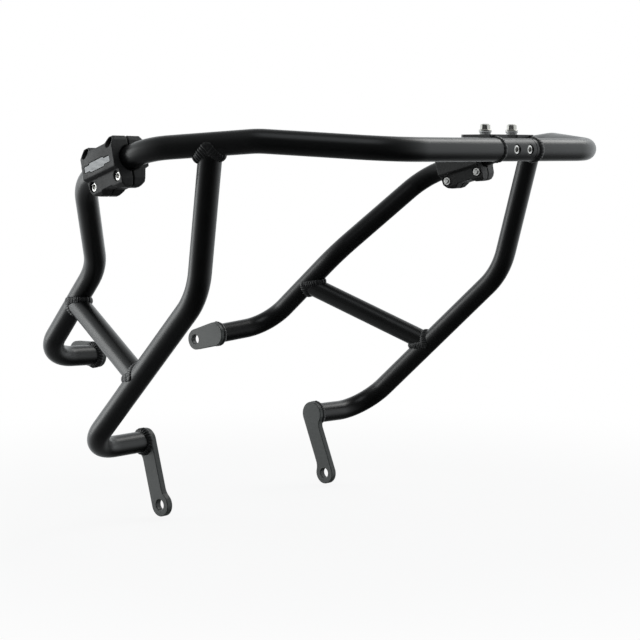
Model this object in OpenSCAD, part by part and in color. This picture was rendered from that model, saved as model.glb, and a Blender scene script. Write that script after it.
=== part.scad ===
// Motorcycle crash bars: two mirrored welded tube frames joined at the front by a
// screwed coupling, with clamp-on crash pads. Millimetres, X forward, Y to the
// rider's left, Z up. The mid-plane of the motorcycle is Y = 0.

/* [Tube] */
// outside diameter of every tube
tube_d = 25.4; // [22:0.1:30]
// wall thickness of every tube
tube_wall = 2.0; // [1.5:0.1:3]
// size of the weld beads between two tubes
weld_size = 3.0; // [2:0.1:4]
// leg of the weld bead where a tube stands on a plate
tab_weld = 2.8; // [2.2:0.1:3]

/* [Main tube bends, right side] */
// half width at the front bend
front_half = 175.5; // [165:0.5:190]
// how far behind the coupling the second bend is
second_back = 115.5; // [105:0.5:125]
// half width at the second bend
second_half = 256.5; // [246:0.5:262]
// how far behind the coupling the bend in front of the pad is
pad_bend_back = 225; // [215:0.5:235]
// half width at the bend in front of the pad
pad_bend_half = 308.5; // [300:0.5:318]
// how far behind the coupling the bend behind the pad is
shoulder_back = 345; // [338:0.5:355]
// half width at the bend behind the pad
shoulder_half = 294.5; // [286:0.5:302]
// how far below the coupling the bend behind the pad is
shoulder_down = 33; // [28:0.5:37]
// radius of the bends at the front of the tube
front_radius = 75; // [65:1:80]
// radius of the two bends beside the pad
pad_radius = 80; // [65:1:82]
// radius of the knee bend in the rear run
knee_radius = 105; // [85:1:115]
// radius of the tight bends at the foot of each run
foot_radius = 52; // [44:1:54]
// how much further back the foot of the right tube turns in
right_foot_back = 23.6; // [18:0.1:26]
// how much lower the right tube ends than the left
right_end_down = 10.6; // [8:0.1:12]
// how much further back the right leg ends than the left
right_leg_back = 6.5; // [3:0.1:9]

/* [Leg tube] */
// distance from the second bend to the top of the leg, along the main tube
leg_place = 51; // [45:0.5:56]
// radius of the bend in the leg
leg_radius = 85; // [70:1:95]
// how far below the coupling the bend in the leg is
leg_bend_down = 154.5; // [145:0.5:165]

/* [Brace tube] */
// distance of the brace from the knee bend, along the main tube
brace_rear_place = 64.5; // [58:0.5:72]
// distance of the brace from the bend in the leg, along the leg
brace_leg_place = 146; // [135:0.5:158]

/* [Mounting tabs] */
// thickness of the four tabs
tab_thick = 8; // [6:0.1:9]
// diameter of the bolt hole in each tab
tab_hole_d = 13; // [11:0.1:15]
// radius of the tab around the tube end
tab_head_r = 16; // [15.8:0.1:17.5]
// radius of the tab around the bolt hole
tab_eye_r = 14; // [13:0.1:16]
// width of the long neck of a lower tab
lower_neck_w = 22; // [18:0.1:26]
// distance of the lower tab's outside face from the mid-plane
lower_tab_half = 148.5; // [142:0.5:154]
// distance of the rear tab's outside face from the mid-plane
rear_tab_half = 107.5; // [103:0.5:113]

/* [Coupling] */
// place of the coupling's middle, measured from the mid-plane
coupling_middle = 25; // [15:0.5:30]
// length of the coupling between its two welds
coupling_len = 66; // [60:0.5:72]
// distance between the two coupling screws
coupling_pitch = 24; // [20:0.5:28]
// width of the slot between the two lapped halves
lap_gap = 0.3; // [0.1:0.05:0.6]
// outside radius of a weld bead round the tube, above the tube surface
ring_weld = 2.4; // [1.8:0.1:3]
// length of the plug inside each tube end
plug_len = 22; // [15:0.5:30]

/* [Crash pads] */
// length of a pad along the tube
pad_len = 62; // [60:0.5:64]
// distance of the pad's middle from the bend in front of it
pad_place = 63.5; // [60:0.1:64]
// turn of the pad about the tube
pad_turn = 1; // [0:0.5:10]
// thickness of one pad half, from the tube's centre line
pad_depth = 22; // [20:0.1:25]
// distance between the pad bolts along the tube
pad_pitch = 46.6; // [42:0.1:48]
// distance between the pad bolts across the tube
pad_cross = 36.4; // [35.4:0.1:37]
// gap left between the two clamped halves
pad_gap = 1.6; // [0.8:0.1:3]
// length of the badge plate
badge_len = 49; // [44:0.5:54]
// width of the badge plate in its middle
badge_w = 10; // [8:0.1:11]
// thickness of the badge plate
badge_thick = 1.2; // [0.8:0.1:1.6]

/* [Fasteners] */
// diameter of all screw shanks
screw_d = 6; // [5:0.1:6.4]
// diameter of the socket heads
screw_head_d = 10; // [9:0.1:10.4]
// height of the socket heads
screw_head_h = 6; // [5:0.1:6.5]
// width across flats of the nuts
nut_flats = 10; // [9:0.1:10.4]
// height of the nuts
nut_h = 5; // [4:0.1:6]
// width across flats of the upright bolt heads
lug_head_flats = 9.6; // [8:0.1:10.4]

/* [Front lugs] */
// distance between the two front lug holes
lug_pitch = 48; // [46:0.5:52]
// distance of the lug holes behind the tube's centre line
lug_back = 22.5; // [21.5:0.5:28]
// width of a front lug
lug_w = 30; // [24:0.5:34]
// thickness of a front lug
lug_thick = 5; // [4:0.1:6]
// length of a front lug behind its hole
lug_tail = 27; // [18:0.5:30]
// height of the collar under each upright bolt
collar_h = 4; // [3:0.1:5]

/* [Hidden] */
$fn = 48;
rt = tube_d / 2;
ri = rt - tube_wall;
seat = 0.05; // clearance wherever one piece seats on another
slip = 0.15; // clearance round screws, plugs and pads
swell = 0.18; // how much a bend swells over the straight tube
// centre line of the right main tube, corner to corner
m1 = [0, -front_half, 0];
m2 = [-second_back, -second_half, 8.7];
mq = [-pad_bend_back, -pad_bend_half, 0.6];
ma = [-shoulder_back, -shoulder_half, -shoulder_down];
mb = [-428, -208.5, -136];
mc = [-538.4, -190, -237.7];
me = [-553.6, -rear_tab_half, -246.3];
// the right foot is no mirror image of the left one
mc_r = mc + unit(mc - mb) * right_foot_back;
me_r = me + [-1.9, 0, -right_end_down];
// centre line of the right leg
f0 = m2 + unit(mq - m2) * leg_place;
f1 = [-197.5, -264.5, -leg_bend_down];
f2 = [-411, -241, -346.5];
f3 = [-411.5, -lower_tab_half, -344.7];
f3_r = f3 + [-1, 0, -0.4] * right_leg_back;
// ends of the right brace
b0 = mb + unit(mc - mb) * brace_rear_place;
b1 = f1 + unit(f2 - f1) * brace_leg_place;
// bolt holes of the tabs
lower_eye = [-388.9, -420.3];
rear_eye = [-589, -255.8];
// coupling
weld_r_y = coupling_middle - coupling_len / 2;
weld_l_y = coupling_middle + coupling_len / 2;
lap_r_y = weld_r_y + 9;
lap_l_y = weld_l_y - 9;
screw_seat = 5.4;
// pad
pad_d = unit(mq - ma);
pad_h = -unit(cross([0, 0, 1], pad_d));
pad_v = cross(pad_h, pad_d);
pad_n = cos(pad_turn) * pad_h + sin(pad_turn) * pad_v;
pad_u = cos(pad_turn) * pad_v - sin(pad_turn) * pad_h;
pad_o = mq - pad_d * pad_place;
head_seat = 8.5;
nut_seat = 11.5;
bolt_tip = nut_seat + nut_h + 1.5;
// lugs
lug_top = 16.5;
collar_top = lug_top + collar_h;
// the object's frame: middle of its bounding box
shift_x = -(rt + ring_weld + rear_eye[0] - tab_eye_r) / 2;
shift_z = -(lug_top + collar_h + seat + 7.5 + lower_eye[1] - tab_eye_r) / 2;

function unit(v) = v / norm(v);
// angle between the run into corner i and the run out of it
function turn(p, i) = acos(unit(p[i] - p[i - 1]) * unit(p[i + 1] - p[i]));
// distance from corner i to where its bend starts
function cut(p, r, i) = (i == 0 || i == len(p) - 1) ? 0 : r[i] * tan(turn(p, i) / 2);

// puts the children's Z axis along d at point p
module aim(p, d) {
    z = unit(d);
    a = abs(z[2]) > 0.9 ? [1, 0, 0] : [0, 0, 1];
    x = unit(cross(a, z));
    y = cross(z, x);
    multmatrix([[x[0], y[0], z[0], p[0]],
                [x[1], y[1], z[1], p[1]],
                [x[2], y[2], z[2], p[2]]])
        children();
}

module rod(a, b, r) {
    aim(a, b - a)
        cylinder(h = norm(b - a), r = r);
}

// one solid bend of radius r at corner i of the path p
module bend(p, i, r, ro) {
    u = unit(p[i - 1] - p[i]);
    v = unit(p[i + 1] - p[i]);
    half = (180 - turn(p, i)) / 2;
    c = p[i] + unit(u + v) * r / sin(half);
    e1 = unit(p[i] + u * r / tan(half) - c);
    w = unit(p[i] + v * r / tan(half) - c);
    e2 = unit(w - (w * e1) * e1);
    e3 = cross(e1, e2);
    multmatrix([[e1[0], e2[0], e3[0], c[0]],
                [e1[1], e2[1], e3[1], c[1]],
                [e1[2], e2[2], e3[2], c[2]]])
        rotate_extrude(angle = turn(p, i))
            translate([r, 0])
                circle(r = ro);
}

// a solid bent bar along the corners p with bend radii r: each straight piece
// reaches 0.7 mm into its bends, which swell a little
module run(p, r, ro) {
    for (i = [0 : len(p) - 2]) {
        d = unit(p[i + 1] - p[i]);
        into = i == 0 ? 0 : 0.7;
        past = i == len(p) - 2 ? 0 : 0.7;
        rod(p[i] + d * (cut(p, r, i) - into), p[i + 1] - d * (cut(p, r, i + 1) - past), ro);
    }
    for (i = [1 : len(p) - 2])
        bend(p, i, r[i], ro + swell);
}

main_r = [0, front_radius, front_radius, pad_radius, pad_radius, knee_radius, foot_radius, 0];
leg_r = [0, leg_radius, foot_radius, 0];

// main tube whose front end stands at y, its foot (corner c, end e) cut flat for the rear tab
module main_tube(y, c, e) {
    over = unit(e - c) * 20;
    difference() {
        run([[0, y, 0], m1, m2, mq, ma, mb, c, e + over], main_r, rt);
        run([[0, y + 5, 0], m1, m2, mq, ma, mb, c, e + over * 1.2], main_r, ri);
        translate([-640, -rear_tab_half - seat, -300])
            cube([160, 60, 120]);
    }
}

// leg tube that ends at e on its lower tab
module leg_tube(e) {
    over = unit(e - f2) * 20;
    difference() {
        run([f0, f1, f2, e + over], leg_r, rt);
        run([f0 - (f1 - f0) * 0.02, f1, f2, e + over * 1.2], leg_r, ri);
        rod(m2, mq, rt + seat);
        translate([-480, -lower_tab_half - seat, -400])
            cube([150, 60, 120]);
    }
}

module brace_tube() {
    difference() {
        rod(b0, b1, rt);
        rod(b0 - (b1 - b0) * 0.02, b1 + (b1 - b0) * 0.02, ri);
        rod(mb, mc, rt + seat);
        rod(f1, f2, rt + seat);
    }
}

// bead in the corner between a tube a-b and a tube of length 32 leaving point p towards q
module saddle(a, b, p, q) {
    d = unit(q - p);
    difference() {
        intersection() {
            rod(p - unit(b - a) * 45, p + unit(b - a) * 45, rt + weld_size);
            rod(p, p + d * 40, rt + weld_size - 0.4);
        }
        rod(p - unit(b - a) * 50, p + unit(b - a) * 50, rt + seat);
        rod(p - d * 5, p + d * 50, rt + seat * 1.6);
    }
}

// bead round a tube end at p on a flat plate, the tube arriving along d
module plate_bead(p, d, plane_y) {
    difference() {
        aim(p, -d) {
            translate([0, 0, -8])
                cylinder(h = 8.3, r = rt + tab_weld);
            translate([0, 0, 0.3])
                cylinder(h = tab_weld, r1 = rt + tab_weld, r2 = rt + 0.4);
        }
        aim(p, -d)
            translate([0, 0, -20])
                cylinder(h = 60, r = rt + seat);
        translate([p[0] - 60, plane_y - seat, p[2] - 60])
            cube([120, 60, 120]);
    }
}

// 2D tab along +X: head of radius r1 at the origin, eye of radius r2 at x = l
module pear(l, r1, r2) {
    c = (r1 - r2) / l;
    s = sqrt(1 - c * c);
    circle(r = r1);
    translate([l, 0])
        circle(r = r2);
    polygon([[r1 * c, r1 * s], [r1 * c, -r1 * s], [l + r2 * c, -r2 * s], [l + r2 * c, r2 * s]]);
}

// puts a 2D drawing in the XZ plane as a plate of the tab thickness behind y
module in_plate(x, z, y, a) {
    translate([x, y, z])
        rotate([90, 0, 0])
            rotate([0, 0, a])
                translate([0, 0, -tab_thick])
                    linear_extrude(tab_thick)
                        children();
}

// rear tab on the tube end e
module rear_tab(e) {
    dx = rear_eye[0] - e[0];
    dz = rear_eye[1] - e[2];
    l = norm([dx, dz]);
    in_plate(e[0], e[2], -rear_tab_half, atan2(dz, dx))
        difference() {
            pear(l, tab_head_r, tab_eye_r);
            translate([l, 0])
                circle(d = tab_hole_d);
        }
}

// lower tab on the tube end h: a straight neck that runs from one edge of the head
// to the other edge of the eye; side = 1 has it meet the eye at the rear, -1 in front
module lower_tab(side, h) {
    dx = lower_eye[0] - h[0];
    dz = lower_eye[1] - h[2];
    l = norm([dx, dz]);
    a = tab_head_r + tab_eye_r - lower_neck_w;
    s = sqrt(l * l - a * a);
    f = tab_head_r - 0.3;
    g = a - tab_eye_r + 0.3;
    q = [[0.588 * tab_head_r, -0.8 * tab_head_r], [13, g - 4.7], [17, g - 2.5], [22, g - 1],
         [28, g], [s, g], [s, a + tab_eye_r - 0.1], [s - 6.6, a + tab_eye_r - 1.75],
         [s - 10.6, f + 3.5], [s - 15.6, f + 1.8], [s - 21.6, f + 0.5], [s - 28.6, f], [0, f]];
    in_plate(h[0], h[2], -lower_tab_half, atan2(dz, dx) - side * asin(a / l))
        difference() {
            union() {
                circle(r = tab_head_r);
                translate([s, side * a])
                    circle(r = tab_eye_r);
                polygon(side > 0 ? q : [for (i = [len(q) - 1 : -1 : 0]) [q[i][0], -q[i][1]]]);
            }
            translate([s, side * a])
                circle(d = tab_hole_d);
        }
}

// half-lapped coupling insert: round body, plug in the tube, half tongue
module insert_body(y0, y1, tip, front) {
    s = sign(y1 - y0);
    difference() {
        union() {
            rod([0, y0 + s * seat, 0], [0, y1, 0], rt);
            rod([0, y0 - s * plug_len, 0], [0, y0 + s, 0], ri - slip);
            difference() {
                rod([0, y1 - s, 0], [0, tip - s * lap_gap, 0], rt);
                translate([front ? -40 : -lap_gap / 2, min(y1, tip) - 40, -20])
                    cube([front ? 40 + lap_gap / 2 : 40, abs(tip - y1) + 80, 40]);
            }
        }
        for (k = [-1, 1])
            rod([-30, coupling_middle + k * coupling_pitch / 2, 0],
                [30, coupling_middle + k * coupling_pitch / 2, 0], screw_d / 2 + slip);
        for (k = [-1, 1])
            rod([screw_seat, coupling_middle + k * coupling_pitch / 2, 0],
                [30, coupling_middle + k * coupling_pitch / 2, 0], screw_head_d / 2 + 0.6);
    }
}

// socket head screw along +Z, head bottom at z = 0
module socket_screw(shank) {
    difference() {
        union() {
            translate([0, 0, -shank])
                cylinder(h = shank + 0.1, r = screw_d / 2);
            cylinder(h = screw_head_h - 0.6, r = screw_head_d / 2);
            translate([0, 0, screw_head_h - 0.6])
                cylinder(h = 0.6, r1 = screw_head_d / 2, r2 = screw_head_d / 2 - 0.6);
        }
        translate([0, 0, screw_head_h - 3.2])
            cylinder(h = 4, d = 5 / cos(30), $fn = 6);
    }
}

module hex_nut(h) {
    difference() {
        intersection() {
            cylinder(h = h, d = nut_flats / cos(30), $fn = 6);
            union() {
                cylinder(h = 0.7, r1 = nut_flats / 2, r2 = nut_flats / 2 + 1.2);
                translate([0, 0, 0.7])
                    cylinder(h = h - 1.4, r = nut_flats / 2 + 1.2);
                translate([0, 0, h - 0.7])
                    cylinder(h = 0.7, r1 = nut_flats / 2 + 1.2, r2 = nut_flats / 2);
            }
        }
        translate([0, 0, -1])
            cylinder(h = h + 2, r = screw_d / 2 + 0.05);
    }
}

// puts the children in the pad's own axes: X along the tube, Y up, Z outward
module pad_place_at() {
    multmatrix([[pad_d[0], pad_u[0], pad_n[0], pad_o[0]],
                [pad_d[1], pad_u[1], pad_n[1], pad_o[1]],
                [pad_d[2], pad_u[2], pad_n[2], pad_o[2]]])
        children();
}

// pad outline seen along its bolts: lobes round the four bolts
module pad_outline() {
    e = pad_len / 2;
    p = pad_pitch / 2;
    polygon([[-e, -22], [-e + 5, -27.5], [-p + 3, -29.5], [-p + 9, -29.5], [-p + 15, -25],
             [p - 12, -25], [p - 7, -29.5], [p + 1, -30.5], [p + 5, -29.5], [e, -22],
             [e, 19.5], [e - 3, 24.6], [p - 3, 25], [p - 9, 19.5], [-p + 9, 19.5],
             [-p + 3, 24.7], [-p - 6, 24.7], [-e, 15]]);
}

// cross-section of one half: X up, Y outward
module pad_section() {
    s = pad_cross / 2 - nut_flats / 2 - 1.65;
    polygon([[-31, pad_gap / 2], [-31, 9], [-26, 14.5], [-s, 17.2], [2 - s, pad_depth - 0.8],
             [3 - s, pad_depth], [14, pad_depth], [25.2, 16.5], [25.2, pad_gap / 2]]);
}

module badge_shape(grow) {
    l = badge_len / 2 + grow;
    w = badge_w / 2 + grow;
    polygon([[-l, -w + 1.8], [-l * 0.62, -w + 1.8], [-l * 0.55, -w], [l * 0.5, -w],
             [l * 0.57, -w + 1.8], [l, -w + 1.8], [l, w - 1.8], [l * 0.57, w - 1.8],
             [l * 0.5, w], [-l * 0.55, w], [-l * 0.62, w - 1.8], [-l, w - 1.8]]);
}

module pad_half(outer) {
    difference() {
        intersection() {
            translate([0, 0, -1])
                linear_extrude(pad_depth + 3)
                    pad_outline();
            rotate([90, 0, 90])
                translate([0, 0, -pad_len / 2 - 1])
                    linear_extrude(pad_len + 2)
                        pad_section();
        }
        rotate([0, 90, 0])
            translate([0, 0, -pad_len])
                cylinder(h = pad_len * 2, r = rt + slip);
        // eased mouths of the bore
        for (s = [0, 1])
            mirror([s, 0, 0])
                translate([pad_len / 2 - 2, 0, 0])
                    rotate([0, 90, 0])
                        cylinder(h = 4, r1 = rt, r2 = rt + 4);
        for (a = [-1, 1], b = [-1, 1])
            translate([a * pad_pitch / 2, b * pad_cross / 2, 0]) {
                translate([0, 0, -1])
                    cylinder(h = 40, r = screw_d / 2 + slip);
                if (outer)
                    translate([0, 0, head_seat])
                        cylinder(h = 40, r = screw_head_d / 2 + 0.5);
                else
                    translate([0, 0, nut_seat])
                        cylinder(h = 40, r = nut_flats / 2 + 1.2);
            }
        if (outer)
            translate([-1, 0.8, pad_depth - badge_thick - 0.2])
                linear_extrude(5)
                    badge_shape(0.3);
    }
}

module pad_outer() {
    pad_place_at()
        pad_half(true);
}

module pad_inner() {
    pad_place_at()
        mirror([0, 0, 1])
            pad_half(false);
}

module badge() {
    pad_place_at()
        translate([-1, 0.8, pad_depth - badge_thick - 0.2 + seat])
            linear_extrude(badge_thick)
                badge_shape(0);
}

module pad_bolts() {
    pad_place_at()
        for (a = [-1, 1], b = [-1, 1])
            translate([a * pad_pitch / 2, b * pad_cross / 2, head_seat + seat])
                socket_screw(head_seat + bolt_tip);
}

module pad_nuts() {
    pad_place_at()
        for (a = [-1, 1], b = [-1, 1])
            translate([a * pad_pitch / 2, b * pad_cross / 2, -nut_seat - nut_h - seat])
                hex_nut(nut_h);
}

module left() {
    mirror([0, 1, 0])
        children();
}

// a bead round the tube at height y of the front run
module ring_bead(y) {
    translate([0, y, 0])
        rotate([90, 0, 0])
            rotate_extrude()
                difference() {
                    translate([rt - 0.5, 0])
                        circle(r = ring_weld + 0.5, $fn = 32);
                    translate([0, -10])
                        square([rt + seat, 20]);
                }
}

module lug_outline(y) {
    t = lug_back + lug_tail;
    c = 7;
    polygon([[0, y - lug_w / 2], [0, y + lug_w / 2], [-t + c, y + lug_w / 2],
             [-t, y + lug_w / 2 - c], [-t, y - lug_w / 2 + c], [-t + c, y - lug_w / 2]]);
}

module lug_cut(y) {
    rod([0, y - 60, 0], [0, y + 60, 0], rt + seat);
    for (w = [weld_r_y, weld_l_y])
        rod([0, w - ring_weld - 0.9, 0], [0, w + ring_weld + 0.9, 0], rt + ring_weld + 0.2);
}

module front_lug(y) {
    difference() {
        translate([0, 0, lug_top - lug_thick])
            linear_extrude(lug_thick)
                lug_outline(y);
        translate([-200, y - 40, lug_top - lug_thick - 1])
            translate([196.5, 0, 0])
                cube([40, 80, 20]);
        lug_cut(y);
        translate([-lug_back, y, 0])
            cylinder(h = 40, r = screw_d / 2 + 0.3);
    }
}

// fillet bead under the lug, in the corner between lug and tube
module lug_bead(y) {
    z = lug_top - lug_thick;
    difference() {
        translate([-rt - 1, y - lug_w / 2 + 1.5, z - 8])
            cube([rt - 3, lug_w - 3, 8 - seat]);
        lug_cut(y);
        translate([-rt - 3, y - 40, z - 1])
            rotate([0, 52, 0])
                translate([-20, 0, -30])
                    cube([20, 80, 60]);
        translate([-lug_back, y, -20])
            cylinder(h = 60, r = 8);
    }
}

module lug_bolt_one(y) {
    translate([-lug_back, y, collar_top + seat]) {
        cylinder(h = 1.6, r1 = 7.1, r2 = 6.2);
        translate([0, 0, -collar_h - lug_thick - nut_h - 2.5])
            cylinder(h = collar_h + lug_thick + nut_h + 3, r = screw_d / 2);
        translate([0, 0, 1.5])
            intersection() {
                cylinder(h = 6, d = lug_head_flats / cos(30), $fn = 6);
                union() {
                    cylinder(h = 5, r = lug_head_flats / 2 + 1);
                    translate([0, 0, 5])
                        cylinder(h = 1, r1 = lug_head_flats / 2 + 1, r2 = lug_head_flats / 2 - 0.4);
                }
            }
    }
}

module lug_collar_one(y) {
    translate([-lug_back, y, lug_top + seat])
        difference() {
            union() {
                cylinder(h = 2.2, r = 6);
                translate([0, 0, 2.2])
                    cylinder(h = collar_h - 2.2 - seat, r = 7);
            }
            translate([0, 0, -1])
                cylinder(h = 20, r = screw_d / 2 + slip);
        }
}

module lug_nut_one(y) {
    translate([-lug_back, y, lug_top - lug_thick - seat - nut_h])
        hex_nut(nut_h);
}

lug_r_y = coupling_middle - lug_pitch / 2;
lug_l_y = coupling_middle + lug_pitch / 2;

module whole() {
    translate([shift_x, 0, shift_z])
        children();
}

module main_tube_right() { color("#1b1d1f") whole() main_tube(weld_r_y - seat, mc_r, me_r); }
module main_tube_left() { color("#1b1d1f") whole() left() main_tube(-weld_l_y - seat, mc, me); }
module leg_tube_right() { color("#1b1d1f") whole() leg_tube(f3_r); }
module leg_tube_left() { color("#1b1d1f") whole() left() leg_tube(f3); }
module brace_tube_right() { color("#1b1d1f") whole() brace_tube(); }
module brace_tube_left() { color("#1b1d1f") whole() left() brace_tube(); }
module rear_tab_right() { color("#5f6663") whole() rear_tab(me_r); }
module rear_tab_left() { color("#5f6663") whole() left() rear_tab(me); }
module lower_tab_right() { color("#5f6663") whole() lower_tab(1, f3_r); }
module lower_tab_left() { color("#5f6663") whole() left() lower_tab(-1, f3); }
module coupling_right() { color("#222427") whole() insert_body(weld_r_y, lap_r_y, lap_l_y, true); }
module coupling_left() { color("#222427") whole() insert_body(weld_l_y, lap_l_y, lap_r_y, false); }
module coupling_screws() {
    color("#c9c9c6")
        whole()
            for (k = [-1, 1])
                translate([screw_seat + seat, coupling_middle + k * coupling_pitch / 2, 0])
                    rotate([0, 90, 0])
                        socket_screw(16);
}
module pad_outer_right() { color("#303231") whole() pad_outer(); }
module pad_outer_left() { color("#303231") whole() left() pad_outer(); }
module pad_inner_right() { color("#2a2c2c") whole() pad_inner(); }
module pad_inner_left() { color("#2a2c2c") whole() left() pad_inner(); }
module badge_right() { color("#b9bcbc") whole() badge(); }
module badge_left() { color("#b9bcbc") whole() left() badge(); }
module pad_bolts_right() { color("#c9c9c6") whole() pad_bolts(); }
module pad_bolts_left() { color("#c9c9c6") whole() left() pad_bolts(); }
module pad_nuts_right() { color("#c9c9c6") whole() pad_nuts(); }
module pad_nuts_left() { color("#c9c9c6") whole() left() pad_nuts(); }
module front_lug_right() { color("#222427") whole() front_lug(lug_r_y); }
module front_lug_left() { color("#222427") whole() front_lug(lug_l_y); }
module lug_bolts() {
    color("#b5b6b2")
        whole()
            for (y = [lug_r_y, lug_l_y])
                lug_bolt_one(y);
}
module lug_collars() {
    color("#d0d0cc")
        whole()
            for (y = [lug_r_y, lug_l_y])
                lug_collar_one(y);
}
module lug_nuts() {
    color("#b5b6b2")
        whole()
            for (y = [lug_r_y, lug_l_y])
                lug_nut_one(y);
}
module weld_leg_right() { color("#141516") whole() saddle(m2, mq, f0, f1); }
module weld_leg_left() { color("#141516") whole() left() saddle(m2, mq, f0, f1); }
module weld_brace_rear_right() { color("#141516") whole() saddle(mb, mc, b0, b1); }
module weld_brace_rear_left() { color("#141516") whole() left() saddle(mb, mc, b0, b1); }
module weld_brace_leg_right() { color("#141516") whole() saddle(f1, f2, b1, b0); }
module weld_brace_leg_left() { color("#141516") whole() left() saddle(f1, f2, b1, b0); }
module weld_lower_tab_right() { color("#141516") whole() plate_bead(f3_r, f3_r - f2, -lower_tab_half); }
module weld_lower_tab_left() { color("#141516") whole() left() plate_bead(f3, f3 - f2, -lower_tab_half); }
module weld_rear_tab_right() { color("#141516") whole() plate_bead(me_r, me_r - mc_r, -rear_tab_half); }
module weld_rear_tab_left() { color("#141516") whole() left() plate_bead(me, me - mc, -rear_tab_half); }
module weld_coupling_right() { color("#141516") whole() ring_bead(weld_r_y); }
module weld_coupling_left() { color("#141516") whole() ring_bead(weld_l_y); }
module weld_lug_right() { color("#141516") whole() lug_bead(lug_r_y); }
module weld_lug_left() { color("#141516") whole() lug_bead(lug_l_y); }

main_tube_right();
main_tube_left();
leg_tube_right();
leg_tube_left();
brace_tube_right();
brace_tube_left();
rear_tab_right();
rear_tab_left();
lower_tab_right();
lower_tab_left();
coupling_right();
coupling_left();
coupling_screws();
pad_outer_right();
pad_outer_left();
pad_inner_right();
pad_inner_left();
badge_right();
badge_left();
pad_bolts_right();
pad_bolts_left();
pad_nuts_right();
pad_nuts_left();
front_lug_right();
front_lug_left();
lug_bolts();
lug_collars();
lug_nuts();
weld_leg_right();
weld_leg_left();
weld_brace_rear_right();
weld_brace_rear_left();
weld_brace_leg_right();
weld_brace_leg_left();
weld_lower_tab_right();
weld_lower_tab_left();
weld_rear_tab_right();
weld_rear_tab_left();
weld_coupling_right();
weld_coupling_left();
weld_lug_right();
weld_lug_left();
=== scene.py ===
import math
import bpy
import bmesh
import numpy as np
from mathutils import Matrix, Vector


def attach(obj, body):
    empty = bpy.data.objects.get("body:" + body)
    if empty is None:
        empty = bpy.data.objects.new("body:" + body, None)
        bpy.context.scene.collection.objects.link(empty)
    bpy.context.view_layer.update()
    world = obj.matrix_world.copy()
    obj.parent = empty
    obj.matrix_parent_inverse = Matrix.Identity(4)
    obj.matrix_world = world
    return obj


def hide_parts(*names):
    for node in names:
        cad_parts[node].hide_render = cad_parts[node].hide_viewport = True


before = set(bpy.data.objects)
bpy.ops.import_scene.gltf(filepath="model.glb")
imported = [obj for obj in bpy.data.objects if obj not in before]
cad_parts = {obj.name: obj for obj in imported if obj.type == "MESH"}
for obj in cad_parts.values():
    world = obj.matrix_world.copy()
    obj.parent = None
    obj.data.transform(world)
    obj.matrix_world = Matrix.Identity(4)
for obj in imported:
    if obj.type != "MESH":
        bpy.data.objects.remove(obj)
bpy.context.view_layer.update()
print("crash bars: frame loaded,", len(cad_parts), "nodes")

# everything below is drawn in millimetres about the front coupling, for the right side,
# X forward, Y to the rider's left, Z up; toRow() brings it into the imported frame
rowShift = np.array([293.95, 0.0, 203.125])
# the left side is the right one with its Y turned by this sign
sides = (("right", 1), ("left", -1))
millimetre = 0.001
# tube ends and nut bores stay this far clear of what they meet
seatGap = 0.05
# edges that turn by more degrees than this are shaded sharp
creases = dict(shape=32, plate=40, weld=60)
# points this close become one: in metres, and for plates in millimetres
mergeWithin = dict(shape=2e-7, plate=1e-4, cast=1e-6)
thinnestFace = 1e-8


# vectors divided by their own lengths
def unit(v):
    v = np.asarray(v, float)
    return v / np.linalg.norm(v, axis=-1, keepdims=True)


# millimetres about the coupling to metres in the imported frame: shifted, then scaled
def toRow(points):
    return (points + rowShift) * millimetre


# mesh helpers: a shape is a grid of points with its quads and triangles

# a grid of points becomes quads. Its circles are always closed; the row of circles is
# closed on itself or open, and capped ends get a fan of triangles round their mean point
def gridFaces(points, closed=False, capped=False):
    rows, around = points.shape[:2]
    index = np.arange(rows * around).reshape(rows, around)
    a = index if closed else index[:-1]
    b = np.roll(index, -1, 0) if closed else index[1:]
    quads = np.stack([a, b, np.roll(b, -1, 1), np.roll(a, -1, 1)], -1).reshape(-1, 4)
    verts = points.reshape(-1, 3)
    tris = np.zeros((0, 3), int)
    if capped:
        for ring, order in ((index[0], [0, 1, 2]), (index[-1], [0, 2, 1])):
            middle = len(verts)
            verts = np.vstack([verts, verts[ring].mean(0)])
            fan = np.stack([np.full(len(ring), middle), ring, np.roll(ring, -1)], -1)
            tris = np.vstack([tris, fan[:, order]])
    return verts, quads, tris


# signed volume of the shape, a sixth of the sum of a . (b x c) over its triangles, which
# tells whether its faces point outwards
def signedVolume(verts, quads, tris):
    allTris = np.vstack([quads[:, [0, 1, 2]], quads[:, [0, 2, 3]], tris])
    a, b, c = verts[allTris[:, 0]], verts[allTris[:, 1]], verts[allTris[:, 2]]
    return (a * np.cross(b, c)).sum() / 6


# merges near points, drops faces without area and turns faces outwards, as asked
def cleanMesh(mesh, merge=None, drop=None, outwards=False):
    bm = bmesh.new()
    bm.from_mesh(mesh)
    if merge:
        bmesh.ops.remove_doubles(bm, verts=bm.verts, dist=merge)
    if drop:
        bmesh.ops.dissolve_degenerate(bm, edges=bm.edges, dist=drop)
    if outwards:
        bmesh.ops.recalc_face_normals(bm, faces=bm.faces)
    bm.to_mesh(mesh)
    bm.free()


def shadeMesh(mesh, crease):
    mesh.polygons.foreach_set("use_smooth", np.ones(len(mesh.polygons), bool))
    mesh.set_sharp_from_angle(angle=math.radians(crease))
    mesh.update()


def addPiece(name, mesh, material, slotName, *nodes):
    piece = bpy.data.objects.new(name, mesh)
    bpy.context.scene.collection.objects.link(piece)
    mesh.materials.clear()
    mesh.materials.append(material)
    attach(piece, "root")
    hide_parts(*nodes)
    return piece


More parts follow.
